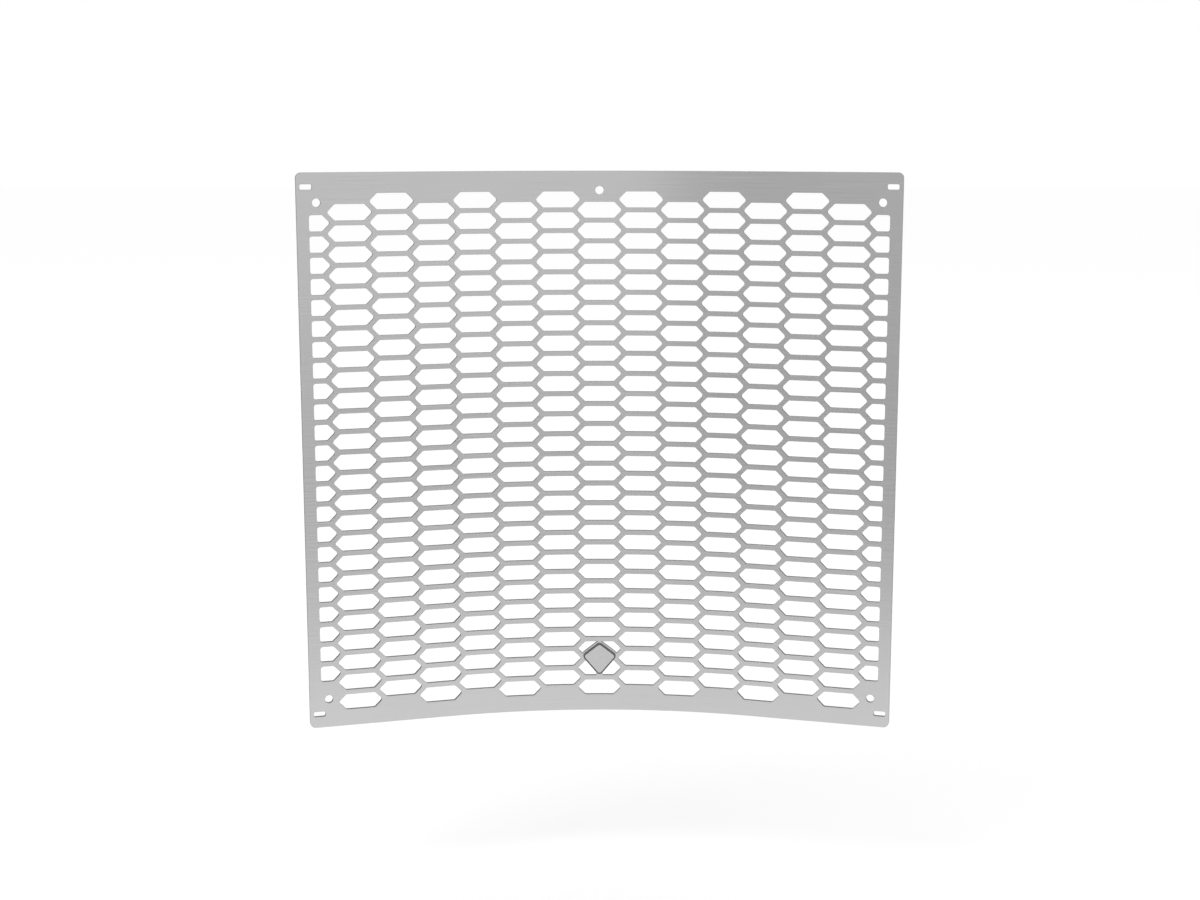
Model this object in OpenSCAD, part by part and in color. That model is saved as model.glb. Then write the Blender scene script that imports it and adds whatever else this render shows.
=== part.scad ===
// Radiator guard for a motorcycle: one sheet of aluminium, cut flat and then rolled, with a
// grille of stretched hexagons and a small badge.
// Millimetres. +Z is up and -Y is the hollow front. X runs across the width. The origin is the
// middle of the box around the guard, at the height of its bottom edge.

/* [Sheet] */
// Width of the sheet, measured along its curve
sheet_w = 380; // [330:1:440]
// Height of the sheet
sheet_h = 352; // [280:1:420]
// Thickness of the sheet
sheet_t = 2.5; // [1.5:0.1:3]
// Radius of the four outer corners
sheet_corner_r = 3.5; // [1:0.1:6]

/* [Bend] */
// Radius of the bent middle, at half the thickness
bend_r = 358.5; // [300:0.5:600]
// Width of the bent middle along its curve, with the flat wings beyond it
bend_w = 199; // [120:1:240]

/* [Grille] */
// Distance from one column of openings to the next
column_pitch = 26.22; // [23:0.01:32]
// Distance from one row of openings to the next
row_pitch = 13; // [11:0.1:16]
// Width of the struts between the openings
strut_w = 3; // [2:0.1:4]
// Radius in the corners of the openings
cell_corner_r = 1.3; // [0.5:0.1:1.8]
// Height of the rim above the highest openings
rim_top = 12.9; // [10:0.1:20]
// Least height of the rim under the lowest openings
rim_bottom = 10; // [8:0.1:20]
// Width of the rims at the two sides
rim_side = 7.6; // [6:0.1:12]
// Least width of an opening that a side rim cuts off
cut_cell_w = 8; // [6:0.5:12]

/* [Screw holes] */
// Diameter of the five screw holes
screw_hole_d = 5.2; // [4:0.1:6.5]
// Distance from the side edge to the screw holes in the corners
screw_side = 12.3; // [10:0.1:16]
// Distance from the top or bottom edge to the screw holes in the corners
screw_end = 18.4; // [16:0.1:24]
// Distance from the top edge to the screw hole in the middle
screw_middle = 12.1; // [8:0.1:14]
// Least distance from a screw hole to the middle of an opening
screw_land = 10; // [8:0.1:11]

/* [Tie slots] */
// Length of the four slots
slot_l = 7.4; // [5:0.1:9]
// Width of the slots
slot_w = 3.3; // [2.5:0.1:4]
// Radius of the slots' corners
slot_corner_r = 0.9; // [0.3:0.1:1.2]
// Distance from the side edge to the middle of a slot
slot_side = 6.1; // [5:0.1:7]
// Distance from the top or bottom edge to the middle of a slot
slot_end = 8.8; // [6:0.1:11]

/* [Badge] */
// Width of the badge between its side corners, before they are rounded
badge_w = 23; // [18:0.1:25]
// Height from the side corners of the badge to its top corner
badge_up = 8.9; // [7:0.1:11]
// Height from the side corners of the badge to its bottom corner
badge_down = 13.6; // [10:0.1:15]
// Height of the badge's side corners above the strut behind them
badge_rise = 2; // [1:0.1:4]
// Radius of the badge's corners
badge_corner_r = 2.4; // [1:0.1:4]
// Thickness of the badge
badge_t = 1.6; // [1:0.1:3]
// How far the land of the sheet stands out beyond the badge's outline
land_margin = 0.7; // [0.4:0.1:2]
// How far the land stands higher than the badge
land_rise = 0.6; // [0:0.1:1]
// Width of the foot that joins the land to the strut under it
land_foot_w = 4.3; // [2:0.1:6]
// Width of the neck that joins the land to the strut above it
land_neck_w = 2.4; // [1.5:0.1:4]
// Which strut of the middle column carries the badge, counted from the bottom
badge_strut = 2; // [1:1:6]

/* [Hidden] */
$fa = 2;
$fs = 0.4;

// Angle that each wing makes with the middle of the sheet, and the wing's width
wing_angle = bend_w / 2 / bend_r * 180 / PI;
wing_w = (sheet_w - bend_w) / 2;
// How far the wings' ends stand in front of the middle of the sheet
sag = bend_r * (1 - cos(wing_angle)) + wing_w * sin(wing_angle);
// The box's front face passes through the wings' front corners, and its back face through the
// back of the bent middle
box_middle_y = -(sag + sheet_t / 2 * cos(wing_angle) - sheet_t / 2) / 2;

// Openings with 45 degree slants and the same strut all round them
cell_h = row_pitch - strut_w;
cell_flat = column_pitch - row_pitch / 2 - strut_w * (sqrt(2) - 1);
cell_w = cell_flat + cell_h;
cell_edge = sheet_w / 2 - rim_side;
top_row_z = sheet_h - rim_top - cell_h / 2;
rows = floor((top_row_z - row_pitch / 2 - cell_h / 2 - rim_bottom) / row_pitch) + 1;
side_columns = floor((cell_edge - cut_cell_w + cell_w / 2) / column_pitch);
// Flats that stand for the round in each corner
cell_corner_flats = 2;
slot_corner_flats = 4;
badge_corner_flats = 8;
// Cutters pass through the sheet with this much to spare on each face
cut_clear = 1;
cut_depth = sheet_t + 2 * cut_clear;

screw_holes = concat(
    [[0, sheet_h - screw_middle]],
    [for (side = [-1, 1], z = [screw_end, sheet_h - screw_end]) [side * (sheet_w / 2 - screw_side), z]]
);
badge_z = cell_z(0, rows - badge_strut) + row_pitch / 2;

// Height of the middle of an opening. The odd columns stand half a row higher than the even ones
function cell_z(column, row) =
    top_row_z - (row + (column % 2 == 0 ? 0.5 : 0)) * row_pitch;

// Whether an opening leaves enough metal around every screw hole
function clear_of_screws(s, z) =
    min([for (hole = screw_holes) norm([s, z] - hole)]) > screw_land;

// Corners of an opening around its own middle, cut off at a side rim where it reaches one
function cell_corners(s) =
    let (
        right = min(cell_edge - s, cell_w / 2),
        left = max(-cell_edge - s, -cell_w / 2),
        flat = cell_flat / 2,
        high = cell_h / 2
    )
    concat(
        right < cell_w / 2 ? [[right, -high], [right, high]] : [[flat, -high], [right, 0], [flat, high]],
        left > -cell_w / 2 ? [[left, high], [left, -high]] : [[-flat, high], [left, 0], [-flat, -high]]
    );

// Corners of the kite that the badge and its land share
badge_corners = [[0, -badge_down], [badge_w / 2, 0], [0, badge_up], [-badge_w / 2, 0]];

// Outward normal of the edge that leaves corner i, for corners listed counter-clockwise
function edge_normal(points, i) =
    let (along = points[(i + 1) % len(points)] - points[i])
    [along[1], -along[0]] / norm(along);

// Points around corner i: an arc of radius r in flats, moved outwards by grow, or the bare corner
// where it turns by 60 degrees or less and a rounding wouldn't show
function corner_points(points, i, r, flats, grow) =
    let (
        before = edge_normal(points, (i + len(points) - 1) % len(points)),
        after = edge_normal(points, i),
        inwards = -(before + after) / (1 + before * after),
        turn = acos(before * after),
        start = atan2(before[1], before[0])
    )
    turn > 60
        ? [for (k = [0:flats])
            points[i] + r * inwards + (r + grow) * direction(start + turn * k / flats)]
        : [points[i] - grow * inwards];

// Unit vector at an angle
function direction(angle) = [cos(angle), sin(angle)];

// Convex outline with round corners, moved outwards by grow
module rounded(points, r, flats, grow = 0) {
    polygon([for (i = [0:len(points) - 1]) each corner_points(points, i, r, flats, grow)]);
}

// Places what is drawn upright at the origin on the sheet, s along its curve from the centre line
module on_sheet(s) {
    bent = max(-bend_w / 2, min(bend_w / 2, s));
    translate([0, -bend_r, 0])
        rotate([0, 0, -bent / bend_r * 180 / PI])
            translate([s - bent, bend_r, 0])
                children();
}

// Cuts a flat outline, drawn with its second axis up, through the sheet at s
module cutter(s) {
    on_sheet(s)
        rotate([90, 0, 0])
            linear_extrude(cut_depth, center = true)
                children();
}

// The rolled sheet before anything is cut out of it
module rolled_sheet() {
    translate([0, -bend_r, 0])
        rotate_extrude(angle = 2 * wing_angle, start = 90 - wing_angle)
            translate([bend_r - sheet_t / 2, 0])
                square([sheet_t, sheet_h]);
    for (side = [-1, 1])
        on_sheet(side * (bend_w + wing_w) / 2)
            translate([-wing_w / 2, -sheet_t / 2, 0])
                cube([wing_w, sheet_t, sheet_h]);
}

// What is cut away to round one corner of the sheet, with the corner at the top right
module corner_waste() {
    difference() {
        translate([-sheet_corner_r, -sheet_corner_r]) square(sheet_corner_r + cut_clear);
        translate([-sheet_corner_r, -sheet_corner_r]) circle(sheet_corner_r);
    }
}

// One column of openings
module column_openings(column) {
    s = column * column_pitch;
    cutter(s)
        for (row = [0:rows - 1])
            if (clear_of_screws(s, cell_z(column, row)))
                translate([0, cell_z(column, row)])
                    cell_outline(column, row, s);
}

// One opening, without the land of the badge where the two meet
module cell_outline(column, row, s) {
    if (column == 0 && abs(cell_z(column, row) - badge_z) < row_pitch)
        difference() {
            rounded(cell_corners(s), cell_corner_r, cell_corner_flats);
            translate([0, badge_z - cell_z(column, row)]) badge_land();
        }
    else
        rounded(cell_corners(s), cell_corner_r, cell_corner_flats);
}

// The patch of sheet behind the badge, drawn around the middle of the strut that carries it
module badge_land() {
    translate([0, badge_rise + land_rise]) badge_outline(land_margin);
    translate([-land_foot_w / 2, -row_pitch]) square([land_foot_w, row_pitch]);
    translate([-land_neck_w / 2, 0]) square([land_neck_w, row_pitch]);
}

// The badge's outline around its side corners, moved outwards by grow
module badge_outline(grow = 0) {
    rounded(badge_corners, badge_corner_r, badge_corner_flats, grow);
}

// Outline of a tie slot around its middle
module slot_outline() {
    x = slot_l / 2;
    z = slot_w / 2;
    rounded([[-x, -z], [x, -z], [x, z], [-x, z]], slot_corner_r, slot_corner_flats);
}

// Moves what is drawn around the middle of the bend to the middle of the box
module in_box() {
    translate([0, -box_middle_y, 0]) children();
}

// The whole sheet: rims, grille, screw holes and tie slots
module guard_sheet() {
    color("silver")
        in_box() difference() {
            rolled_sheet();
            for (column = [-side_columns:side_columns]) column_openings(column);
            for (hole = screw_holes)
                cutter(hole[0]) translate([0, hole[1]]) circle(screw_hole_d / 2);
            for (side = [-1, 1], z = [slot_end, sheet_h - slot_end])
                cutter(side * (sheet_w / 2 - slot_side)) translate([0, z]) slot_outline();
            for (side = [-1, 1], end = [0, 1])
                cutter(side * sheet_w / 2)
                    translate([0, end * sheet_h])
                        mirror([side < 0 ? 1 : 0, 0])
                            mirror([0, 1 - end])
                                corner_waste();
        }
}

// The badge bends with the sheet, and its back lies on the land all over
module badge_plate() {
    back_r = bend_r - sheet_t / 2;
    height = 2 * badge_w;
    color("gainsboro")
        in_box() translate([0, 0, badge_z + badge_rise])
            intersection() {
                rotate([90, 0, 0]) linear_extrude(sag) badge_outline();
                translate([0, -bend_r, 0])
                    difference() {
                        cylinder(h = height, r = back_r, center = true);
                        cylinder(h = height + 2 * cut_clear, r = back_r - badge_t, center = true);
                    }
            }
}

guard_sheet();
badge_plate();
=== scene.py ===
"""The looks of a rolled aluminium radiator guard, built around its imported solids.

The file is laid out as an add-on and is run as a script. Lengths are in metres, in the frame of the
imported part: +X across the width, -Y to the hollow front, +Z up, and 0 at the bottom edge.
"""

import math

import bmesh
import bpy
from bpy.props import FloatProperty, FloatVectorProperty, IntProperty, PointerProperty
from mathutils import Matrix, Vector
from mathutils.geometry import delaunay_2d_cdt


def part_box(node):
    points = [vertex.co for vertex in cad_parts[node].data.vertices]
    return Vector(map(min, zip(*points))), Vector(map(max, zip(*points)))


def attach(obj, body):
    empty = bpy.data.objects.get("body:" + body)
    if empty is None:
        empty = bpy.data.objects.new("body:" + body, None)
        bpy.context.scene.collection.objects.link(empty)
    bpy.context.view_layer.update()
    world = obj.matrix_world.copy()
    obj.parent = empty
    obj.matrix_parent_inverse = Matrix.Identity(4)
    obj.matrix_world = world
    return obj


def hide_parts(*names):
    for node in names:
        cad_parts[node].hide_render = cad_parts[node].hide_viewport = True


bl_info = {
    "name": "Rolled radiator guard",
    "version": (1, 0, 0),
    "blender": (4, 5, 0),
    "location": "3D View > Sidebar > Guard",
    "description": "Dresses the packed radiator guard and sets up its studio",
    "category": "Object",
}

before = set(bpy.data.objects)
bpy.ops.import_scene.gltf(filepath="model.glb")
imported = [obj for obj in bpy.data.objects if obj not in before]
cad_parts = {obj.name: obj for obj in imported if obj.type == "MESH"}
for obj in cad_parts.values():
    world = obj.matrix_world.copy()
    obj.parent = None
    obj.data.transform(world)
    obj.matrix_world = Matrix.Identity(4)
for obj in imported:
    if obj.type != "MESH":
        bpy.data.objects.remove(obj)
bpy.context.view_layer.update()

MM = 0.001
FLAT_MAP = "flat_sheet"
# The values that a noise texture seldom leaves
NOISE_LOW, NOISE_HIGH = 0.3, 0.7
# How far a tint follows its clouds, and not its fine pattern
CLOUD_SHARE = 0.25
# A mix node has sockets for numbers and for colours, with the same names, so they go by number
MIX_SHARE, NUMBER_A, NUMBER_B, COLOUR_A, COLOUR_B = 0, 2, 3, 6, 7
MIXED_NUMBER, MIXED_COLOUR = 0, 2
# How much a surface of the sheet faces sideways, away from the metal, and how much backwards
FRONTWARDS = (0, -1)
BACKWARDS = (0, 1)
SIDEWAYS = (1, 0)


def linear_colour(code):
    """Linear red, green, blue and alpha of an sRGB hex code."""
    parts = [int(code[i : i + 2], 16) / 255 for i in (1, 3, 5)]
    return [p / 12.92 if p <= 0.04045 else ((p + 0.055) / 1.055) ** 2.4 for p in parts] + [1.0]


def length(name, description, millimetres):
    """A length that the user can change, with its default in millimetres."""
    return FloatProperty(
        name=name,
        description=description,
        default=millimetres * MM,
        min=0.0,
        unit="LENGTH",
        precision=5,
    )


def colour(name, description, code):
    """A colour that the user can change, with its default as an sRGB hex code."""
    return FloatVectorProperty(
        name=name,
        description=description,
        default=linear_colour(code),
        size=4,
        min=0.0,
        max=1.0,
        subtype="COLOR",
    )


def angle(name, description, degrees):
    """An angle that the user can change, with its default in degrees."""
    return FloatProperty(
        name=name, description=description, default=math.radians(degrees), subtype="ANGLE"
    )


def place(name, description, millimetres):
    """A place that the user can change, with its default in millimetres."""
    return FloatVectorProperty(
        name=name,
        description=description,
        default=[part * MM for part in millimetres],
        subtype="TRANSLATION",
        unit="LENGTH",
    )


def level(name, description, default, least=0.0):
    """A brightness, or one part of a direction, that the user can change."""
    return FloatProperty(name=name, description=description, default=default, min=least)


class GuardSheetSettings(bpy.types.PropertyGroup):
    bend_radius: length("Bend radius", "Radius of the bent middle, at half the thickness", 358.5)
    bend_width: length("Bend width", "Width of the bent middle, measured along its curve", 199)
    thickness: length("Thickness", "Thickness of the sheet", 2.5)
    edge_round: length("Edge rounding", "How far the tumbled edges are rounded over", 0.1)
    corner_reach: length("Corner reach", "How far from its point a corner's curve starts", 0.6)
    corner_steps: IntProperty(
        name="Corner steps", description="Pieces that a corner's curve is made of", default=3, min=1
    )
    edge_step: length("Edge step", "Longest piece of an edge that follows the bend", 4)
    face_colour: colour("Face", "Colour of the brushed faces", "#C7C7C7")
    streak_colour: colour("Streaks", "Colour of the darker brush streaks", "#BEBEBE")
    # The cut walls' colours are darker than the faces partly as painted shade in the openings' walls;
    # their striations and duller gloss are the cut's own
    shaded_cut_colour: colour("Cut edges", "Colour of the laser-cut walls", "#717171")
    shaded_striation_colour: colour("Striations", "Colour of the striations in the cut walls", "#6A6A6A")
    streak_length: length("Streak length", "Length of the brush streaks", 60)
    streak_width: length("Streak width", "Width of the brush streaks", 0.9)
    cloud_size: length("Cloud size", "Size of the faint clouds in the finish", 70)
    striation_pitch: length("Striation pitch", "Distance between the cut walls' striations", 0.5)


class GuardBadgeSettings(bpy.types.PropertyGroup):
    border: length("Border width", "Width of the enamelled border", 0.78)
    recess: length("Recess", "Depth of the field below the border", 0.15)
    edge_round: length("Edge rounding", "How far the border's outer edge is rounded over", 0.25)
    field_colour: colour("Field", "Colour of the bare field", "#CACACA")
    grain_colour: colour("Grain", "Colour of the hollows in the field's grain", "#BEBEBE")
    border_colour: colour("Border", "Colour of the enamelled border", "#565656")
    thin_colour: colour("Thin enamel", "Colour of the enamel where it is thin", "#606060")
    grain_size: length("Grain size", "Size of the blasted field's grain", 0.25)


class GuardStageSettings(bpy.types.PropertyGroup):
    floor_drop: length("Floor drop", "How far the floor lies under the guard", 106)
    floor_size: length("Floor size", "Length of the floor's sides", 24000)
    floor_colour: colour("Floor", "Colour of the floor", "#D8D8D8")
    floor_glow: level("Floor glow", "Brightness of its own that the camera sees on the floor", 0.365)
    camera_place: place("Camera place", "Where the camera stands", (-3.445, -1178.63, 385.47))
    camera_down: angle("Camera tilt", "How far the camera looks down", 10.021)
    camera_right: angle("Camera turn", "How far the camera looks to the right", 0.18)
    sensor_width: length("Sensor width", "Width of the camera's sensor", 36)
    focal_length: length("Focal length", "Focal length of the camera's lens", 56.602)


class GuardLightSettings(bpy.types.PropertyGroup):
    backdrop: level("Backdrop", "Brightness of the background that the camera sees", 1.0)
    room: level("Room", "Brightness of the room that lights matt surfaces", 0.9)
    softbox_size: length("Softbox size", "Length of the softbox's sides", 1500)
    softbox_power: FloatProperty(
        name="Softbox power", description="Power of the softbox", default=36, unit="POWER"
    )
    softbox_place: place("Softbox place", "Where the softbox hangs", (-2200, -2100, 4200))
    right_wall: level("Right wall", "Brightness that the metal mirrors from the right", 0.99)
    left_wall: level("Left wall", "Brightness that the metal mirrors from the left", 0.73)
    table: level("Table", "Brightness that the metal mirrors from the white table", 1.3)
    near_floor: level("Near floor", "Brightness mirrored from the floor before the table", 0.95)
    walls_meet: level("Meeting place", "X of the direction to where the walls meet", -0.209, -1.0)
    wall_foot: level("Wall foot", "Z of the direction to the foot of the walls", -0.164, -1.0)
    table_edge: level("Table edge", "Z of the direction to the table's far edge", -0.234, -1.0)
    table_end: level("Table end", "Z of the direction to the table's near edge", -0.55, -1.0)
    blend: level("Blend", "How far each part of the room blends into the next", 0.03)


def add_node(tree, kind, inputs=None, **settings):
    """Adds a node with its settings, and gives each input its value or its link."""
    node = tree.nodes.new(kind)
    for name, value in settings.items():
        setattr(node, name, value)
    for name, value in (inputs or {}).items():
        if isinstance(value, bpy.types.NodeSocket):
            tree.links.new(value, node.inputs[name])
        else:
            node.inputs[name].default_value = value
    return node


def new_tree(holder):
    """The node tree of a new material or world, emptied."""
    holder.use_nodes = True
    holder.node_tree.nodes.clear()
    return holder.node_tree


def pattern(tree, width, height):
    """Noise on the flat sheet whose patches are about width across it and height up it."""
    on_sheet = add_node(tree, "ShaderNodeUVMap", uv_map=FLAT_MAP)
    stretched = add_node(
        tree,
        "ShaderNodeVectorMath",
        {0: on_sheet.outputs["UV"], 1: (1 / width, 1 / height, 0)},
        operation="MULTIPLY",
    )
    noise = add_node(
        tree,
        "ShaderNodeTexNoise",
        {"Vector": stretched.outputs["Vector"], "Scale": 1.0, "Detail": 3.0},
    )
    spread = add_node(
        tree,
        "ShaderNodeMapRange",
        {"Value": noise.outputs["Fac"], "From Min": NOISE_LOW, "From Max": NOISE_HIGH},
    )
    return spread.outputs["Result"]


def patterned(name, patch, colours, roughness, relief, metallic=1.0, cloud=None):
    """A material whose colour, roughness and relief follow one fine pattern on the flat sheet.

    The patch is how wide and how high the pattern's patches are. The colours and the roughness are
    given for its hollows and for its crests. A cloud is the size of wide patches that the colour
    follows as well.
    """
    material = bpy.data.materials.new(name)
    tree = new_tree(material)
    crests = tint = pattern(tree, *patch)
    if cloud:
        wide = pattern(tree, cloud, cloud)
        clouded = {MIX_SHARE: CLOUD_SHARE, NUMBER_A: crests, NUMBER_B: wide}
        tint = add_node(tree, "ShaderNodeMix", clouded).outputs[MIXED_NUMBER]
    shade = add_node(
        tree,
        "ShaderNodeMix",
        {MIX_SHARE: tint, COLOUR_A: colours[0], COLOUR_B: colours[1]},
        data_type="RGBA",
    )
    gloss = add_node(
        tree,
        "ShaderNodeMapRange",
        {"Value": crests, "To Min": roughness[0], "To Max": roughness[1]},
    )
    bump = add_node(tree, "ShaderNodeBump", {"Distance": relief, "Height": crests})
    surface = add_node(
        tree,
        "ShaderNodeBsdfPrincipled",
        {
            "Base Color": shade.outputs[MIXED_COLOUR],
            "Metallic": metallic,
            "Roughness": gloss.outputs["Result"],
            "Normal": bump.outputs["Normal"],
        },
    )
    add_node(tree, "ShaderNodeOutputMaterial", {"Surface": surface.outputs["BSDF"]})
    return material


def brushed_aluminium(settings):
    """Rolled aluminium sheet, brushed across its width: a satin metal that mirrors the room softly,
    with fine level streaks. Real grit lines are a tenth of a millimetre wide and wouldn't show, so
    they are drawn as coarse as the picture can carry."""
    return patterned(
        "brushed aluminium",
        patch=(settings.streak_length, settings.streak_width),
        colours=(settings.streak_colour, settings.face_colour),
        roughness=(0.23, 0.27),
        relief=0.002 * MM,
        cloud=settings.cloud_size,
    )


def shaded_laser_cut_aluminium(settings):
    """The walls that the laser left: duller than the faces, with striations through the thickness, and
    coloured darker as painted shade for the openings' walls. The flat map doesn't change across a
    wall, so its pattern runs straight through."""
    return patterned(
        "shaded laser-cut aluminium",
        patch=(settings.striation_pitch, settings.striation_pitch),
        colours=(settings.shaded_striation_colour, settings.shaded_cut_colour),
        roughness=(0.48, 0.44),
        relief=0.005 * MM,
    )


def blasted_aluminium(settings):
    """The badge's bare field, bead blasted and anodised: an even metal, softer than the brushed
    sheet. Its grain is drawn a little coarser than the beads leave it, so that it shows."""
    return patterned(
        "bead-blasted aluminium",
        patch=(settings.grain_size, settings.grain_size),
        colours=(settings.grain_colour, settings.field_colour),
        roughness=(0.4, 0.34),
        relief=0.004 * MM,
    )


def baked_enamel(settings):
    """Grey enamel baked on the badge's border and sides: a smooth paint with a soft gloss, a shade
    paler where it runs thin."""
    return patterned(
        "baked enamel",
        patch=(settings.border, settings.border),
        colours=(settings.border_colour, settings.thin_colour),
        roughness=(0.3, 0.4),
        relief=0.002 * MM,
        metallic=0.0,
    )


def placed(name, data, where=(0, 0, 0), turn=(0, 0, 0)):
    """Adds an object to the scene."""
    item = bpy.data.objects.new(name, data)
    item.location = where
    item.rotation_euler = turn
    bpy.context.scene.collection.objects.link(item)
    return item


class Bend:
    """Takes points between the rolled sheet and the flat one. A place on the flat sheet is how far
    it lies along the width, how far up, and how far behind the middle of the thickness."""

    def __init__(self, settings):
        self.radius = settings.bend_radius
        self.half_turn = settings.bend_width / 2 / self.radius
        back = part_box("guard_sheet")[1].y
        self.axis_y = back - self.radius - settings.thickness / 2

    def turn_at(self, along):
        """How far the sheet has turned there. The flat wings turn no further than the bend."""
        return max(-self.half_turn, min(self.half_turn, along / self.radius))

    def unroll(self, point):
        """The place on the flat sheet of a point of the rolled one."""
        y = point.y - self.axis_y
        turn = self.turn_at(math.atan2(point.x, y) * self.radius)
        beyond = point.x * math.cos(turn) - y * math.sin(turn)
        out = point.x * math.sin(turn) + y * math.cos(turn)
        return Vector((turn * self.radius + beyond, point.z, out - self.radius))

    def directed(self, flat_place, direction):
        """A direction on the flat sheet, as it points once that place is rolled."""
        turn = self.turn_at(flat_place[0])
        x = direction[0] * math.cos(turn) + direction[2] * math.sin(turn)
        y = direction[2] * math.cos(turn) - direction[0] * math.sin(turn)
        return Vector((x, y, direction[1]))

    def roll(self, flat_place):
        """The point of the rolled sheet for a place on the flat one."""
        along, up, behind = flat_place
        beyond = along - self.turn_at(along) * self.radius
        point = self.directed(flat_place, (beyond, up, self.radius + behind))
        return point + Vector((0, self.axis_y, 0))


def front_outlines(node, bend):
    """The closed outlines of a solid's front face on the flat sheet, and how far behind the middle
    of the sheet that face lies. The metal is on the left of each outline as its points go on."""
    same_point = 0.001 * MM
    same_face = 0.1 * MM
    solid = bmesh.new()
    solid.from_mesh(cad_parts[node].data)
    bmesh.ops.remove_doubles(solid, verts=solid.verts, dist=same_point)
    flat = {corner: bend.unroll(corner.co) for corner in solid.verts}
    behind = min(where.z for where in flat.values())
    for face in solid.faces:
        face.tag = all(flat[corner].z < behind + same_face for corner in face.verts)
    following = {}
    for face in solid.faces:
        for loop in face.loops:
            if face.tag and not all(other.tag for other in loop.edge.link_faces):
                following[loop.vert] = loop.link_loop_next.vert
    found = []
    while following:
        start, here = following.popitem()
        outline = [flat[start].xy]
        while here is not start:
            outline.append(flat[here].xy)
            here = following.pop(here)
        found.append(outline)
    solid.free()
    return found, behind


def around(points):
    """Each point of a closed outline with the ones before and after it."""
    return zip(points[-1:] + points[:-1], points, points[1:] + points[:1])


def cornered(points):
    """The outline with only its corners left."""
    straight = math.radians(1.5)
    return [
        here for before, here, after in around(points) if (here - before).angle(after - here) > straight
    ]


def softened(points, reach, steps):
    """The outline with a curve in place of each corner."""
    closest = 0.01 * MM
    half_side = 0.5
    curve = []
    for before, corner, after in around(cornered(points)):
        back, on = before - corner, after - corner
        start = corner + back * min(half_side, reach / back.length)
        end = corner + on * min(half_side, reach / on.length)
        for i in range(steps + 1):
            t = i / steps
            curve.append(start.lerp(corner, t).lerp(corner.lerp(end, t), t))
    return [here for before, here, _ in around(curve) if (here - before).length > closest]


def divided(points, step):
    """The outline with points added along its long level stretches, so that it can bend."""
    result = []
    for _, here, after in around(points):
        pieces = max(1, math.ceil(abs(after.x - here.x) / step))
        result += [here.lerp(after, i / pieces) for i in range(pieces)]
    return result


def side_steps(points):
    """At each point of an outline, the step away from the metal that moves both its edges by one."""
    result = []
    for before, here, after in around(points):
        coming, going = (here - before).normalized(), (after - here).normalized()
        outwards = Vector((coming.y + going.y, -coming.x - going.x))
        result.append(outwards / (1 + coming.dot(going)))
    return result


class RolledMesh:
    """A mesh made of rings that follow outlines on the flat sheet, rolled with it at the end."""

    def __init__(self, bend):
        self.bend = bend
        self.places = []
        self.normals = []
        self.faces = []
        self.slots = []

    def ring(self, outline, inset, behind, normal):
        """One closed ring, inset into the metal from the outline. The normal is how much it faces
        sideways, away from the metal, and how much it faces backwards."""
        first = len(self.places)
        for point, side in zip(outline, side_steps(outline)):
            at = point - side * inset
            self.places.append((at.x, at.y, behind))
            out = side.normalized() * normal[0]
            self.normals.append((out.x, out.y, normal[1]))
        return range(first, len(self.places))

    def strip(self, front, back, slot):
        """Joins two rings of one outline, the front one first."""
        for i in range(len(front)):
            j = (i + 1) % len(front)
            self.faces.append((front[i], back[i], back[j], front[j]))
            self.slots.append(slot)

    def fill(self, rings, slot, backwards=False):
        """Fills the metal between rings that lie in one face."""
        numbers = [number for ring in rings for number in ring]
        owner = [ring for ring in rings for _ in ring]
        points = [Vector(self.places[number][:2]) / MM for number in numbers]
        edges = []
        first = 0
        for ring in rings:
            count = len(ring)
            edges += [(first + i, first + (i + 1) % count) for i in range(count)]
            first += count
        inside = 1
        same_point = 1e-6
        found = delaunay_2d_cdt(points, edges, [], inside, same_point)
        found_points, triangles, sources = found[0], found[2], found[3]
        if len(found_points) != len(points):
            raise RuntimeError("outlines of the guard cross each other")
        for triangle in triangles:
            a, b, c = (sources[i][0] for i in triangle)
            # The openings are filled too. Where all corners of a triangle lie on one ring, it is
            # metal only if it goes round the way that the ring does, and so rises twice.
            apart = owner[a] is not owner[b] or owner[b] is not owner[c]
            if apart or (a < b) + (b < c) + (c < a) == 2:
                corners = [numbers[i] for i in (a, b, c)]
                self.faces.append(corners[::-1] if backwards else corners)
                self.slots.append(slot)

    def finished(self, name, materials):
        """The piece as an object, with its own normals and a map of the flat sheet."""
        mesh = bpy.data.meshes.new(name)
        mesh.from_pydata([self.bend.roll(where) for where in self.places], [], self.faces)
        for material in materials:
            mesh.materials.append(material)
        mesh.polygons.foreach_set("material_index", self.slots)
        mesh.polygons.foreach_set("use_smooth", [True] * len(self.faces))
        flat = mesh.uv_layers.new(name=FLAT_MAP)
        for loop, corner in zip(mesh.loops, flat.data):
            corner.uv = self.places[loop.vertex_index][:2]
        rolled = [self.bend.directed(*pair).normalized() for pair in zip(self.places, self.normals)]
        mesh.normals_split_custom_set_from_vertices(rolled)
        mesh.validate()
        return placed(name, mesh)


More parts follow.
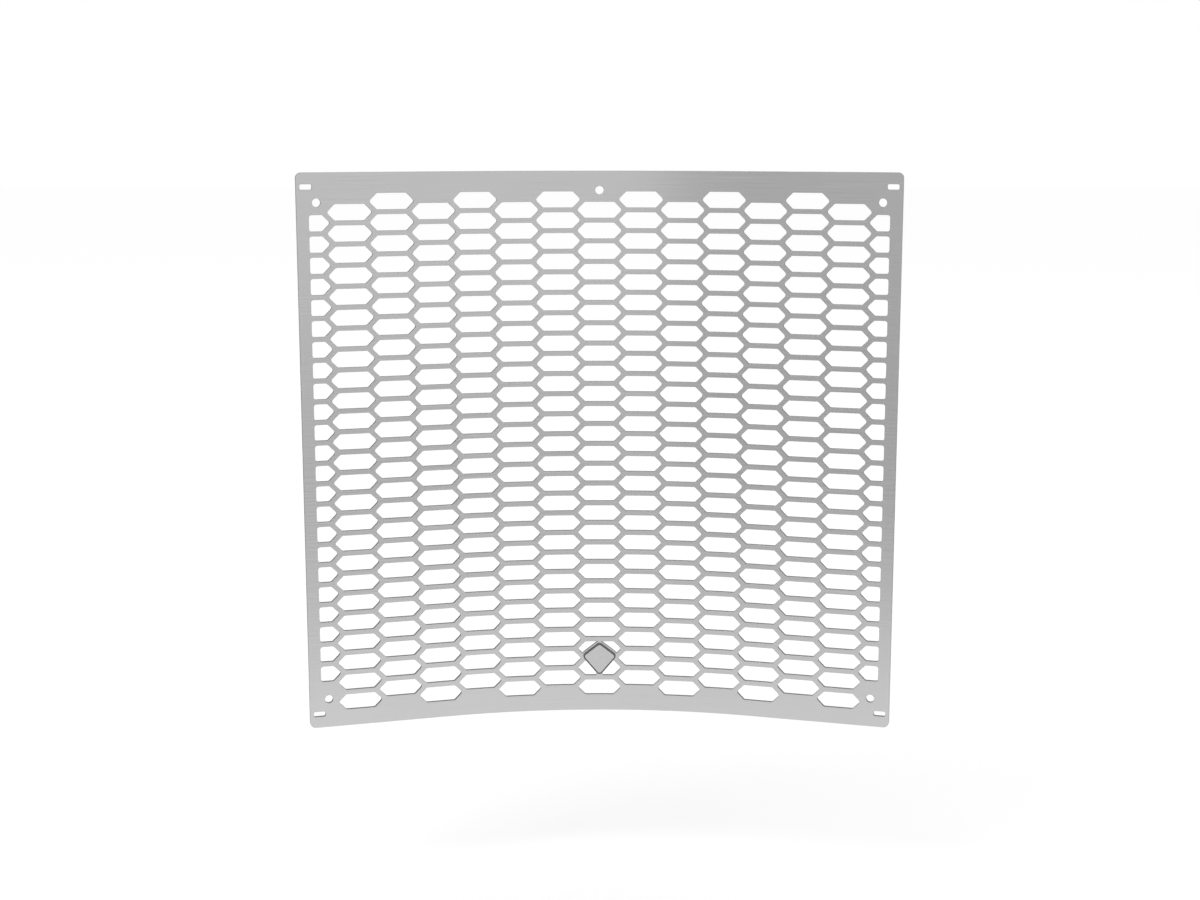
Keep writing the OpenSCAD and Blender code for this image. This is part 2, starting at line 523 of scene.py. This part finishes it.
class GUARD_OT_sheet(bpy.types.Operator):
    """Builds the rolled sheet with its rounded corners and edges"""

    bl_idname = "guard.sheet"
    bl_label = "Sheet"

    def execute(self, context):
        settings = context.scene.guard_sheet
        bend = Bend(settings)
        sheet = RolledMesh(bend)
        face, wall = 0, 1
        half = settings.thickness / 2
        edge = settings.edge_round
        fronts, backs = [], []
        for outline in front_outlines("guard_sheet", bend)[0]:
            soft = softened(outline, settings.corner_reach, settings.corner_steps)
            line = divided(soft, settings.edge_step)
            front = sheet.ring(line, edge, -half, FRONTWARDS)
            front_wall = sheet.ring(line, 0, edge - half, SIDEWAYS)
            back_wall = sheet.ring(line, 0, half - edge, SIDEWAYS)
            back = sheet.ring(line, edge, half, BACKWARDS)
            sheet.strip(front, front_wall, face)
            sheet.strip(front_wall, back_wall, wall)
            sheet.strip(back_wall, back, face)
            fronts.append(front)
            backs.append(back)
        sheet.fill(fronts, face)
        sheet.fill(backs, face, backwards=True)
        materials = [brushed_aluminium(settings), shaded_laser_cut_aluminium(settings)]
        piece = sheet.finished("rolled_sheet", materials)
        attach(piece, "root")
        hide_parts("guard_sheet")
        return {"FINISHED"}


class GUARD_OT_badge(bpy.types.Operator):
    """Builds the badge with its enamelled border and bare field"""

    bl_idname = "guard.badge"
    bl_label = "Badge"

    def execute(self, context):
        settings = context.scene.guard_badge
        sheet_settings = context.scene.guard_sheet
        bend = Bend(sheet_settings)
        badge = RolledMesh(bend)
        enamel, field = 0, 1
        outlines, top = front_outlines("badge_plate", bend)
        soft = softened(outlines[0], sheet_settings.corner_reach, sheet_settings.corner_steps)
        line = divided(soft, sheet_settings.edge_step)
        foot = -sheet_settings.thickness / 2
        edge = settings.edge_round
        step_foot = settings.border + settings.recess
        field_edge = badge.ring(line, step_foot, top + settings.recess, FRONTWARDS)
        step = badge.ring(line, settings.border, top, FRONTWARDS)
        rim = badge.ring(line, edge, top, FRONTWARDS)
        front_wall = badge.ring(line, 0, top + edge, SIDEWAYS)
        back_wall = badge.ring(line, 0, foot, SIDEWAYS)
        back = badge.ring(line, 0, foot, BACKWARDS)
        badge.fill([field_edge], field)
        badge.strip(field_edge, step, enamel)
        badge.strip(step, rim, enamel)
        badge.strip(rim, front_wall, enamel)
        badge.strip(front_wall, back_wall, enamel)
        badge.fill([back], enamel, backwards=True)
        piece = badge.finished("badge", [baked_enamel(settings), blasted_aluminium(settings)])
        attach(piece, "root")
        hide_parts("badge_plate")
        return {"FINISHED"}


def white_floor(settings):
    """Matt white studio floor. The part of its brightness that comes from light keeps a faint
    shadow, and the rest is its own, so that it meets the white background without an edge."""
    material = bpy.data.materials.new("matt white floor")
    tree = new_tree(material)
    seen = add_node(tree, "ShaderNodeLightPath")
    paint = add_node(tree, "ShaderNodeBsdfDiffuse", {"Color": settings.floor_colour})
    own = add_node(
        tree,
        "ShaderNodeMath",
        {0: seen.outputs["Is Camera Ray"], 1: settings.floor_glow},
        operation="MULTIPLY",
    )
    glow = add_node(tree, "ShaderNodeEmission", {"Strength": own.outputs["Value"]})
    both = add_node(
        tree, "ShaderNodeAddShader", {0: paint.outputs["BSDF"], 1: glow.outputs["Emission"]}
    )
    add_node(tree, "ShaderNodeOutputMaterial", {"Surface": both.outputs["Shader"]})
    return material


def mirrored_room(tree, settings):
    """How bright the room is in each direction, as the metal mirrors it. The left wall is darker
    than the right one, and a white table stands below their dim foot, with the floor before it."""
    looked = add_node(tree, "ShaderNodeTexCoord")
    along = add_node(tree, "ShaderNodeSeparateXYZ", {"Vector": looked.outputs["Generated"]})
    parts = (
        ("X", settings.walls_meet, settings.left_wall, settings.right_wall),
        ("Z", settings.wall_foot, 0, 1),
        ("Z", settings.table_edge, settings.table, 0),
        ("Z", settings.table_end, 1, 0),
    )
    wall, wall_shows, table, floor_shows = (
        add_node(
            tree,
            "ShaderNodeMapRange",
            {
                "Value": along.outputs[axis],
                "From Min": turning - settings.blend,
                "From Max": turning + settings.blend,
                "To Min": before,
                "To Max": after,
            },
            interpolation_type="SMOOTHSTEP",
        ).outputs["Result"]
        for axis, turning, before, after in parts
    )
    far = add_node(
        tree, "ShaderNodeMath", {0: wall, 1: wall_shows, 2: table}, operation="MULTIPLY_ADD"
    )
    whole = add_node(
        tree,
        "ShaderNodeMix",
        {MIX_SHARE: floor_shows, NUMBER_A: far.outputs["Value"], NUMBER_B: settings.near_floor},
    )
    return whole.outputs[MIXED_NUMBER]


class GUARD_OT_stage(bpy.types.Operator):
    """Sets up the pale floor, the soft studio light, the white background and the camera"""

    bl_idname = "guard.stage"
    bl_label = "Stage"

    def execute(self, context):
        self.lay_floor(context.scene.guard_stage)
        self.hang_softbox(context.scene.guard_light)
        self.surround(context.scene, context.scene.guard_light)
        self.place_camera(context.scene, context.scene.guard_stage)
        return {"FINISHED"}

    def lay_floor(self, settings):
        half = settings.floor_size / 2
        corners = [(x, y, -settings.floor_drop) for x, y in ((-1, -1), (1, -1), (1, 1), (-1, 1))]
        mesh = bpy.data.meshes.new("floor")
        mesh.from_pydata([(x * half, y * half, z) for x, y, z in corners], [], [(0, 1, 2, 3)])
        mesh.materials.append(white_floor(settings))
        floor = placed("floor", mesh)
        floor.visible_glossy = False

    def hang_softbox(self, settings):
        lamp = bpy.data.lights.new("softbox", "AREA")
        lamp.shape = "SQUARE"
        lamp.size = settings.softbox_size
        lamp.energy = settings.softbox_power
        to_guard = -Vector(settings.softbox_place)
        placed("softbox", lamp, settings.softbox_place, to_guard.to_track_quat("-Z", "Y").to_euler())

    def surround(self, scene, settings):
        world = bpy.data.worlds.new("studio")
        tree = new_tree(world)
        seen = add_node(tree, "ShaderNodeLightPath")
        lit = add_node(
            tree,
            "ShaderNodeMix",
            {
                MIX_SHARE: seen.outputs["Is Glossy Ray"],
                NUMBER_A: settings.room,
                NUMBER_B: mirrored_room(tree, settings),
            },
        )
        looked_at = add_node(
            tree,
            "ShaderNodeMath",
            {0: seen.outputs["Is Camera Ray"], 1: seen.outputs["Is Transmission Ray"]},
            operation="MAXIMUM",
        )
        shown = add_node(
            tree,
            "ShaderNodeMix",
            {
                MIX_SHARE: looked_at.outputs["Value"],
                NUMBER_A: lit.outputs[MIXED_NUMBER],
                NUMBER_B: settings.backdrop,
            },
        )
        white = add_node(
            tree,
            "ShaderNodeBackground",
            {"Color": (1, 1, 1, 1), "Strength": shown.outputs[MIXED_NUMBER]},
        )
        add_node(tree, "ShaderNodeOutputWorld", {"Surface": white.outputs["Background"]})
        scene.world = world

    def place_camera(self, scene, settings):
        camera = bpy.data.cameras.new("camera")
        camera.sensor_width = settings.sensor_width / MM
        camera.lens = settings.focal_length / MM
        upright = math.radians(90)
        turn = (upright - settings.camera_down, 0, -settings.camera_right)
        scene.camera = placed("camera", camera, settings.camera_place, turn)
        scene.view_settings.view_transform = "Standard"


SETTINGS = {
    "guard_sheet": GuardSheetSettings,
    "guard_badge": GuardBadgeSettings,
    "guard_stage": GuardStageSettings,
    "guard_light": GuardLightSettings,
}
STEPS = (GUARD_OT_sheet, GUARD_OT_badge, GUARD_OT_stage)


class GUARD_PT_panel(bpy.types.Panel):
    """Lists the steps that dress the guard, and the sizes and colours that they use"""

    bl_idname = "GUARD_PT_panel"
    bl_label = "Radiator guard"
    bl_space_type = "VIEW_3D"
    bl_region_type = "UI"
    bl_category = "Guard"

    def draw(self, context):
        for step in STEPS:
            self.layout.operator(step.bl_idname)
        for name, group in SETTINGS.items():
            box = self.layout.box()
            for setting in group.__annotations__:
                box.prop(getattr(context.scene, name), setting)


CLASSES = (*SETTINGS.values(), *STEPS, GUARD_PT_panel)


def register():
    for item in CLASSES:
        bpy.utils.register_class(item)
    for name, group in SETTINGS.items():
        setattr(bpy.types.Scene, name, PointerProperty(type=group))


def unregister():
    for name in SETTINGS:
        delattr(bpy.types.Scene, name)
    for item in reversed(CLASSES):
        bpy.utils.unregister_class(item)


def main():
    register()
    bpy.ops.guard.sheet()
    bpy.ops.guard.badge()
    bpy.ops.guard.stage()


if __name__ == "__main__":
    main()
